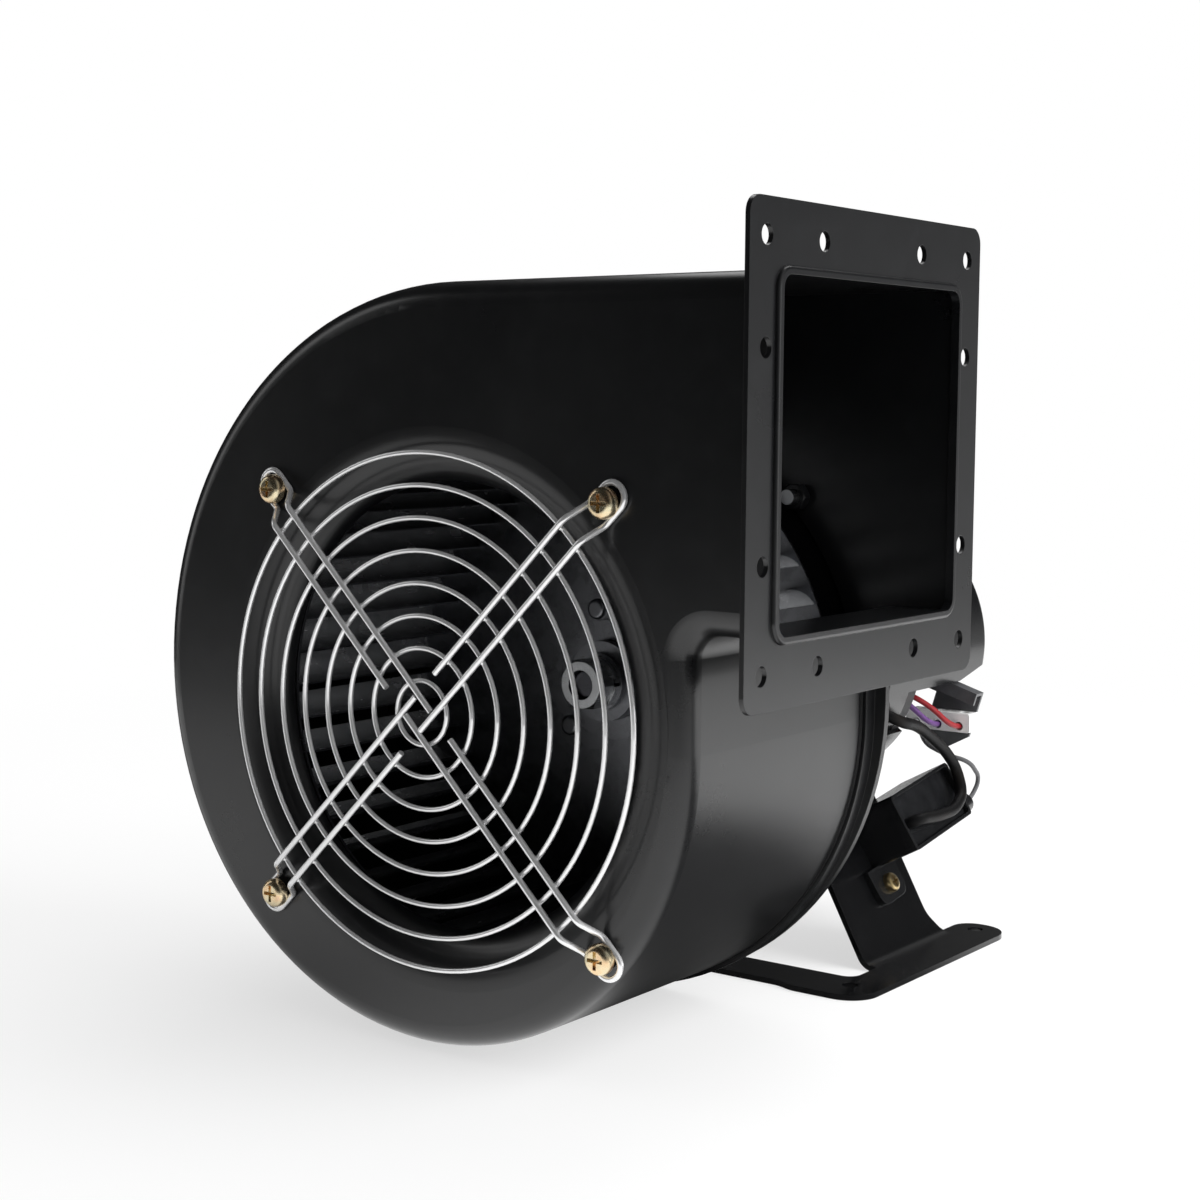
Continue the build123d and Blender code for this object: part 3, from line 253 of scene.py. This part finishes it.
def turned_steel(name, colour=(0.60, 0.61, 0.62), pitch=0.18):
    """Steel with the fine rings that a lathe leaves round the wheel axis."""
    f = Finish(name)
    rings = f.sum("SINE", f.from_axis() * (2 * math.pi / (pitch * MM)), 0.0) * 0.5 + 0.5
    cloud = f.cloud(120, 3.0)
    dark = tuple(c * 0.72 for c in colour)
    return f.surface(base_color=f.blend(cloud, dark, colour), metallic=1.0,
                     roughness=0.20 + cloud * 0.14 + rings * 0.04,
                     normal=f.relief(rings * 0.6 + cloud * 0.4, 0.006, 0.25))


def cast_alloy(name):
    f = Finish(name)
    grain = f.cloud(700, 5.0, rough=0.7)
    return f.surface(base_color=f.blend(grain, (0.48, 0.48, 0.49), (0.70, 0.70, 0.71)), metallic=1.0,
                     roughness=0.34 + grain * 0.2, normal=f.relief(grain, 0.03, 0.2))


def laminations(name):
    """Stack of varnished core plates, half a millimetre each, along the wheel axis."""
    f = Finish(name)
    _, y, _ = f.split(f.place())
    plates = f.sum("SINE", y * (2 * math.pi / (0.5 * MM)), 0.0) * 0.5 + 0.5
    stain = f.cloud(80, 4.0)
    tone = f.blend(stain, (0.16, 0.16, 0.17), (0.32, 0.31, 0.30))
    return f.surface(base_color=tone, metallic=0.8, roughness=0.40 + plates * 0.15,
                     normal=f.relief(plates, 0.03, 0.15))


def winding(name):
    """Bundled enamelled wire under varnish."""
    f = Finish(name)
    strands = f.cloud(900, 3.0, stretch=(1, 0.12, 1))
    bundle = f.cloud(140, 2.0)
    tone = f.ramp(strands * 0.6 + bundle * 0.4, (0.3, (0.28, 0.08, 0.025)), (0.7, (0.62, 0.24, 0.08)))
    return f.surface(base_color=tone, metallic=0.55, roughness=0.28 + bundle * 0.12,
                     normal=f.relief(strands, 0.12, 0.3))


def moulding(name, colour, gloss=0.42, texture=0.012):
    """Moulded plastic with a fine spark texture and faint flow clouds."""
    f = Finish(name)
    spark = f.cloud(2600, 3.0)
    flow = f.cloud(50, 2.0)
    pale = tuple(min(1.0, c * 1.35 + 0.006) for c in colour)
    return f.surface(base_color=f.blend(flow, colour, pale), roughness=gloss + (spark - 0.5) * 0.16,
                     normal=f.relief(spark, texture, 0.4))


def cast_resin(name):
    """Poured resin: low ripples, a glossy skin and a few tiny pits."""
    f = Finish(name)
    ripple = f.cloud(180, 2.0)
    pits = f.spread(f.cells(900, output="Distance"), 0.0, 0.22)
    tone = f.blend(ripple, (0.004, 0.0042, 0.0047), (0.014, 0.0145, 0.016))
    return f.surface(base_color=tone, roughness=0.16 + ripple * 0.12,
                     normal=f.relief(ripple * 0.7 + pits * 0.3, 0.10, 0.3))


def insulation(name, colour):
    """Extruded wire insulation with a waxy sheen and faint scuffs."""
    f = Finish(name)
    scuff = f.cloud(700, 5.0, rough=0.7)
    broad = f.cloud(120, 2.0)
    deep = tuple(c * 0.78 for c in colour)
    return f.surface(base_color=f.blend(broad, deep, colour), roughness=0.30 + scuff * 0.22,
                     normal=f.relief(scuff, 0.010, 0.1))


def sleeving(name):
    """Soft black sleeve, matt, with a brown cast where it is handled."""
    f = Finish(name)
    rib = f.cloud(1300, 3.0)
    wear = f.cloud(45, 3.0)
    tone = f.ramp(wear, (0.50, (0.0036, 0.0036, 0.0040)), (0.78, (0.020, 0.014, 0.010)))
    return f.surface(base_color=tone, roughness=0.42 + rib * 0.2, specular_ior_level=0.25,
                     normal=f.relief(rib, 0.03, 0.2))


BLACK = (0.0045, 0.0047, 0.0053)
finishes = {
    "black_paint": sheet_paint("black_paint", BLACK),
    "stand_paint": sheet_paint("stand_paint", (0.0030, 0.0031, 0.0035), 0.19),
    "cast_black": cast_paint("cast_black", (0.009, 0.0092, 0.0098)),
    "chrome_wire": chrome("chrome_wire"),
    "yellow_zinc": yellow_zinc("yellow_zinc"),
    "wheel_sheet": galvanised("wheel_sheet"),
    "turned_steel": turned_steel("turned_steel"),
    "bearing_steel": turned_steel("bearing_steel", (0.68, 0.68, 0.70), 0.12),
    "core_steel": laminations("core_steel"),
    "cage_cast": cast_alloy("cage_cast"),
    "copper_coil": winding("copper_coil"),
    "capacitor_plastic": moulding("capacitor_plastic", (0.0040, 0.0042, 0.0047), 0.20),
    "resin": cast_resin("resin"),
    "brass_screw": turned_steel("brass_screw", (0.80, 0.62, 0.32), 0.2),
    "black_rubber": sleeving("black_rubber"),
    "grey_lead": insulation("grey_lead", (0.10, 0.10, 0.105)),
    "red_lead": insulation("red_lead", (0.30, 0.016, 0.022)),
    "violet_lead": insulation("violet_lead", (0.17, 0.075, 0.26)),
    "white_lead": insulation("white_lead", (0.72, 0.74, 0.76)),
    "white_nylon": moulding("white_nylon", (0.88, 0.88, 0.87), 0.30, 0.006),
    "terminal_steel": turned_steel("terminal_steel", (0.62, 0.63, 0.64), 0.3),
}
dull_steel = turned_steel("dull_steel", (0.25, 0.255, 0.27), 0.25)
dressed_otherwise = {
    "terminal_bracket": sheet_paint("bracket_paint", (0.070, 0.072, 0.076), 0.34),
    "wheel_backplate": turned_steel("backplate_steel", (0.24, 0.245, 0.26), 0.25),
    "wheel_hub": dull_steel,
    "hub_collar": dull_steel,
    "hub_rivets": dull_steel,
    "flat_washer": dull_steel,
    "motor_shaft": turned_steel("shaft_steel", (0.10, 0.10, 0.11), 0.25),
    "motor_plate_nuts": finishes["black_paint"],
    "motor_plate_screws": finishes["terminal_steel"],
}
node_slot = {part["node"]: part["material_slot"] for part in frame["record"]["subparts"]}
for node, piece in frame["nodes"].items():
    piece.data.materials.clear()
    piece.data.materials.append(dressed_otherwise.get(node, finishes[node_slot[node]]))


# Guard welds

def guard_welds():
    """Flattened bead of weld where each guard arm's wires lie on a ring."""
    bm = bmesh.new()
    for arm in range(4):
        turn = Matrix.Translation((0, 0, AXIS_HEIGHT)) @ Matrix.Rotation(math.radians(45 + 90 * arm), 4, "Y")
        for side in (-ARM_SPREAD / 2, ARM_SPREAD / 2):
            for n in range(2, RING_COUNT + 1):
                radius = n * RING_PITCH
                reach = math.sqrt(radius ** 2 - side ** 2)
                bead = bmesh.ops.create_icosphere(bm, subdivisions=2, radius=1.0)
                place = turn @ Matrix.Translation((reach, WELD_PLANE, side))
                shape = Matrix.Diagonal((*WELD_HALF_SIZE, 1))
                bmesh.ops.transform(bm, matrix=place @ shape, verts=bead["verts"])
    mesh = bpy.data.meshes.new("guard_welds")
    for face in bm.faces:
        face.smooth = True
    bm.to_mesh(mesh)
    bm.free()
    obj = bpy.data.objects.new("guard_welds", mesh)
    bpy.context.scene.collection.objects.link(obj)
    mesh.materials.append(finishes["chrome_wire"])
    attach(obj, "housing")


guard_welds()


# Studio

def floor():
    """Round pale floor that keeps the blower's soft shadow and fades into the backdrop.

    Gloss sees a painted shade under the motor, a dark patch seen only in reflections, and a painted glow
    before the scroll, brighter than the backdrop and seen only in reflections.
    """
    bm = bmesh.new()
    bmesh.ops.create_circle(bm, cap_ends=True, segments=96, radius=0.95)
    mesh = bpy.data.meshes.new("floor")
    bm.to_mesh(mesh)
    bm.free()
    obj = bpy.data.objects.new("floor", mesh)
    bpy.context.scene.collection.objects.link(obj)
    f = Finish("floor")
    x, y, _ = f.split(f.place())
    edge = f.spread((x * x + y * y) ** 0.5, 0.30, 0.85, 0.62, 1.0)
    # Painted reflections: under the motor gloss sees a dark patch, and before the scroll a glow brighter than
    # the backdrop.
    near = f.spread(y, -0.19, -0.13)
    behind = near * (1 - f.spread(y, -0.03, 0.06))
    front = f.spread(x, -0.12, 0.02) * (1 - near)
    seen = f.add("ShaderNodeLightPath", output="Is Camera Ray")
    gloss = f.add("ShaderNodeLightPath", output="Is Glossy Ray")
    pale = f.add("ShaderNodeBsdfDiffuse", {}, {"Color": (0.88, 0.88, 0.88, 1)})
    dark = f.add("ShaderNodeBsdfDiffuse", {}, {"Color": (0.10, 0.10, 0.10, 1)})
    white = f.add("ShaderNodeEmission", {}, {"Color": (1, 1, 1, 1), "Strength": 1.0})
    bright = f.add("ShaderNodeEmission", {}, {"Color": (1, 1, 1, 1), "Strength": 1.2})
    mix = f.add("ShaderNodeMixShader", {}, {0: seen * edge, 1: pale, 2: white})
    # Painted shade seen only by gloss: the dark diffuse under the motor.
    mix = f.add("ShaderNodeMixShader", {}, {0: gloss * behind, 1: mix, 2: dark})
    # Painted glow seen only by gloss: the bright emission before the scroll.
    mix = f.add("ShaderNodeMixShader", {}, {0: gloss * front, 1: mix, 2: bright})
    f.add("ShaderNodeOutputMaterial", {}, {"Surface": mix})
    mesh.materials.append(f.material)


def backdrop():
    """White room for the camera. Gloss sees it bright at the right and behind, dim at the front left."""
    world = bpy.data.worlds.new("studio")
    bpy.context.scene.world = world
    world.use_nodes = True
    f = Finish("studio", world.node_tree)
    seen = f.add("ShaderNodeLightPath", output="Is Camera Ray")
    gloss = f.add("ShaderNodeLightPath", output="Is Glossy Ray")
    glass = f.add("ShaderNodeLightPath", output="Is Transmission Ray")
    way = f.add("ShaderNodeTexCoord", output="Generated")
    lean = f.toward(way, ROOM_BRIGHT)
    strip = f.toward(way, ROOM_STRIP)
    dark = f.toward(way, ROOM_DARK)
    room = f.spread(lean, 0.0, 0.9, 0.015, 0.37) + f.spread(strip, 0.94, 0.99, 0.0, 1.3)
    room = room * f.spread(dark, 0.86, 0.97, 1.0, 0.10)
    soft = 0.30 + f.spread(lean, -0.6, 1.0, 0.0, 0.85)
    strength = seen + (1 - seen) * ((gloss + glass) * room + (1 - gloss - glass) * soft)
    light = f.add("ShaderNodeBackground", {}, {"Color": (1, 1, 1, 1), "Strength": strength})
    f.add("ShaderNodeOutputWorld", {}, {"Surface": light})


def softbox(name, place, aim, size, power, mirrored=True):
    """Rectangular lamp aimed at a point, which gloss shows only where it is mirrored."""
    lamp = bpy.data.lights.new(name, "AREA")
    lamp.shape = "RECTANGLE"
    lamp.size, lamp.size_y = size
    lamp.energy = power
    obj = bpy.data.objects.new(name, lamp)
    obj.location = place
    obj.rotation_euler = (Vector(aim) - Vector(place)).to_track_quat("-Z", "Y").to_euler()
    obj.visible_glossy = mirrored
    bpy.context.scene.collection.objects.link(obj)


def camera():
    """Camera at the photograph's azimuth, elevation and roll."""
    azimuth, elevation, roll = (math.radians(angle) for angle in CAMERA_ANGLES)
    back = Vector((math.sin(azimuth) * math.cos(elevation), -math.cos(azimuth) * math.cos(elevation),
                   math.sin(elevation)))
    right = Vector((math.cos(azimuth), math.sin(azimuth), 0))
    up = back.cross(right)
    turned = math.cos(roll) * right + math.sin(roll) * up
    up = math.cos(roll) * up - math.sin(roll) * right
    lens = bpy.data.cameras.new("camera")
    lens.lens = CAMERA_LENS
    lens.sensor_width = SENSOR_WIDTH
    lens.clip_start = 0.01
    obj = bpy.data.objects.new("camera", lens)
    obj.location = CAMERA_PLACE
    obj.rotation_euler = Matrix((turned, up, back)).transposed().to_euler()
    bpy.context.scene.collection.objects.link(obj)
    bpy.context.scene.camera = obj


floor()
backdrop()
softbox("right_box", (0.95, 0.10, 0.60), (0.0, -0.08, 0.12), (0.7, 0.9), 13, mirrored=False)
softbox("top_box", (-0.10, 0.40, 1.10), (0.0, -0.08, 0.12), (1.0, 0.8), 4.6)
softbox("left_box", (-0.95, -0.55, 0.45), (0.0, -0.10, 0.12), (0.25, 0.9), 0.9)
camera()
bpy.context.scene.view_settings.view_transform = "Standard"
